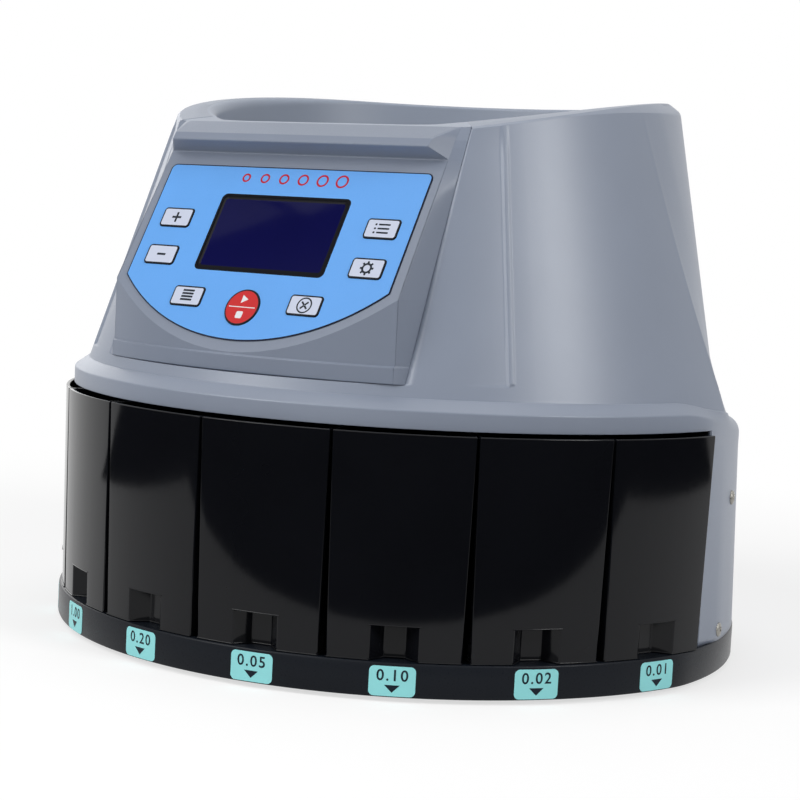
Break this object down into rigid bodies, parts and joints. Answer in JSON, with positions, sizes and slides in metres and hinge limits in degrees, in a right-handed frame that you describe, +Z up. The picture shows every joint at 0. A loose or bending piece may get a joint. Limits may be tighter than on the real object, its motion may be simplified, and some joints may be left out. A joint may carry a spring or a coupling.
{
  "type": "coin sorter",
  "caption": "Coin sorter with a round open hopper, a sloping panel with display and keys, and a ring of pull-out coin boxes over a black plinth; carrier wheel and gauge plate inside.",
  "frame": {"origin": "middle of the outline, on the plane where the rubber feet stand", "axes": "+Z up, front with the control panel and the coin boxes facing -Y, +X to the viewer's right"},
  "size_m": [0.3594, 0.33, 0.274],
  "materials": {
    "base_black": "satin moulded plastic",
    "box_black": "polished moulded plastic",
    "rubber": "plain rubber",
    "housing_grey": "fine moulded texture",
    "bezel_grey": "fine moulded texture",
    "screw_steel": "bright plated",
    "shaft_steel": "ground steel",
    "sheet_steel": "bent sheet",
    "post_aluminium": "turned",
    "overlay_blue": "printed film",
    "window_navy": "clear window over a dark display",
    "module_black": "moulded frame",
    "board_green": "circuit board",
    "switch_black": "moulded plastic",
    "key_white": "smooth moulded key",
    "key_red": "smooth moulded key",
    "carrier_black": "moulded plastic",
    "bronze": "sintered bronze",
    "gear_white": "moulded gear",
    "motor_metal": "plated motor can",
    "core_iron": "laminated core"
  },
  "bodies": {
    "machine": {"base_plinth": "base_black", "rubber_feet": "rubber", "housing": "housing_grey", "side_screws": "screw_steel", "side_brackets": "sheet_steel", "control_bezel": "bezel_grey", "panel_overlay": "overlay_blue", "display_window": "window_navy", "display_module": "module_black", "key_board": "board_green", "key_switches": "switch_black", "hopper_bowl": "housing_grey", "sorting_plate": "sheet_steel", "plate_posts": "post_aluminium", "coin_sensors": "switch_black", "upper_bushing": "bronze", "lower_bushing": "bronze", "center_pedestal": "carrier_black", "gear_motor": "motor_metal", "motor_bracket": "sheet_steel", "main_board": "board_green", "power_unit": "core_iron", "power_inlet": "switch_black", "switch_frame": "switch_black"},
    "carrier": {"carrier_wheel": "carrier_black", "center_knob": "carrier_black", "main_shaft": "shaft_steel", "drive_gear": "gear_white"},
    "pinion": {"motor_pinion": "bronze", "motor_shaft": "shaft_steel"},
    "key_plus": {"key_plus": "key_white"},
    "key_minus": {"key_minus": "key_white"},
    "key_stack": {"key_stack": "key_white"},
    "key_start": {"key_start": "key_red"},
    "key_clear": {"key_clear": "key_white"},
    "key_set": {"key_set": "key_white"},
    "key_list": {"key_list": "key_white"},
    "coin_box_1": {"coin_box_1": "box_black"},
    "coin_box_2": {"coin_box_2": "box_black"},
    "coin_box_3": {"coin_box_3": "box_black"},
    "coin_box_4": {"coin_box_4": "box_black"},
    "coin_box_5": {"coin_box_5": "box_black"},
    "coin_box_6": {"coin_box_6": "box_black"},
    "coin_box_7": {"coin_box_7": "box_black"},
    "coin_box_8": {"coin_box_8": "box_black"},
    "rocker": {"power_rocker": "switch_black"}
  },
  "joints": [
    {"name": "carrier_spin", "type": "hinge", "parent": "machine", "child": "carrier", "pos_m": [0, 0.017, 0.126], "axis": [0, 0, 1], "continuous": true},
    {"name": "pinion_spin", "type": "hinge", "parent": "machine", "child": "pinion", "pos_m": [0, 0.0645, 0.1], "axis": [0, 0, 1], "continuous": true},
    {"name": "coin_box_1_pull", "type": "slide", "parent": "machine", "child": "coin_box_1", "axis": [0.9448, -0.3276, 0], "range_m": [0, 0.11]},
    {"name": "coin_box_2_pull", "type": "slide", "parent": "machine", "child": "coin_box_2", "axis": [0.773, -0.6344, 0], "range_m": [0, 0.11]},
    {"name": "coin_box_3_pull", "type": "slide", "parent": "machine", "child": "coin_box_3", "axis": [0.5057, -0.8627, 0], "range_m": [0, 0.11]},
    {"name": "coin_box_4_pull", "type": "slide", "parent": "machine", "child": "coin_box_4", "axis": [0.1758, -0.9844, 0], "range_m": [0, 0.11]},
    {"name": "coin_box_5_pull", "type": "slide", "parent": "machine", "child": "coin_box_5", "axis": [-0.1758, -0.9844, 0], "range_m": [0, 0.11]},
    {"name": "coin_box_6_pull", "type": "slide", "parent": "machine", "child": "coin_box_6", "axis": [-0.5057, -0.8627, 0], "range_m": [0, 0.11]},
    {"name": "coin_box_7_pull", "type": "slide", "parent": "machine", "child": "coin_box_7", "axis": [-0.773, -0.6344, 0], "range_m": [0, 0.11]},
    {"name": "coin_box_8_pull", "type": "slide", "parent": "machine", "child": "coin_box_8", "axis": [-0.9448, -0.3276, 0], "range_m": [0, 0.11]},
    {"name": "key_plus_press", "type": "slide", "parent": "machine", "child": "key_plus", "axis": [0, 0.8616, -0.5075], "range_m": [0, 0.0006], "stiffness_N_per_m": 500},
    {"name": "key_minus_press", "type": "slide", "parent": "machine", "child": "key_minus", "axis": [0, 0.8616, -0.5075], "range_m": [0, 0.0006], "stiffness_N_per_m": 500},
    {"name": "key_stack_press", "type": "slide", "parent": "machine", "child": "key_stack", "axis": [0, 0.8616, -0.5075], "range_m": [0, 0.0006], "stiffness_N_per_m": 500},
    {"name": "key_start_press", "type": "slide", "parent": "machine", "child": "key_start", "axis": [0, 0.8616, -0.5075], "range_m": [0, 0.0006], "stiffness_N_per_m": 500},
    {"name": "key_clear_press", "type": "slide", "parent": "machine", "child": "key_clear", "axis": [0, 0.8616, -0.5075], "range_m": [0, 0.0006], "stiffness_N_per_m": 500},
    {"name": "key_set_press", "type": "slide", "parent": "machine", "child": "key_set", "axis": [0, 0.8616, -0.5075], "range_m": [0, 0.0006], "stiffness_N_per_m": 500},
    {"name": "key_list_press", "type": "slide", "parent": "machine", "child": "key_list", "axis": [0, 0.8616, -0.5075], "range_m": [0, 0.0006], "stiffness_N_per_m": 500},
    {"name": "rocker_tilt", "type": "hinge", "parent": "machine", "child": "rocker", "pos_m": [0.019, 0.1594, 0.048], "axis": [-1, 0, 0], "range_deg": [0, 16]}
  ],
  "couplings": [
    {"joint": "pinion_spin", "follows": "carrier_spin", "ratio": -3.75}
  ]
}
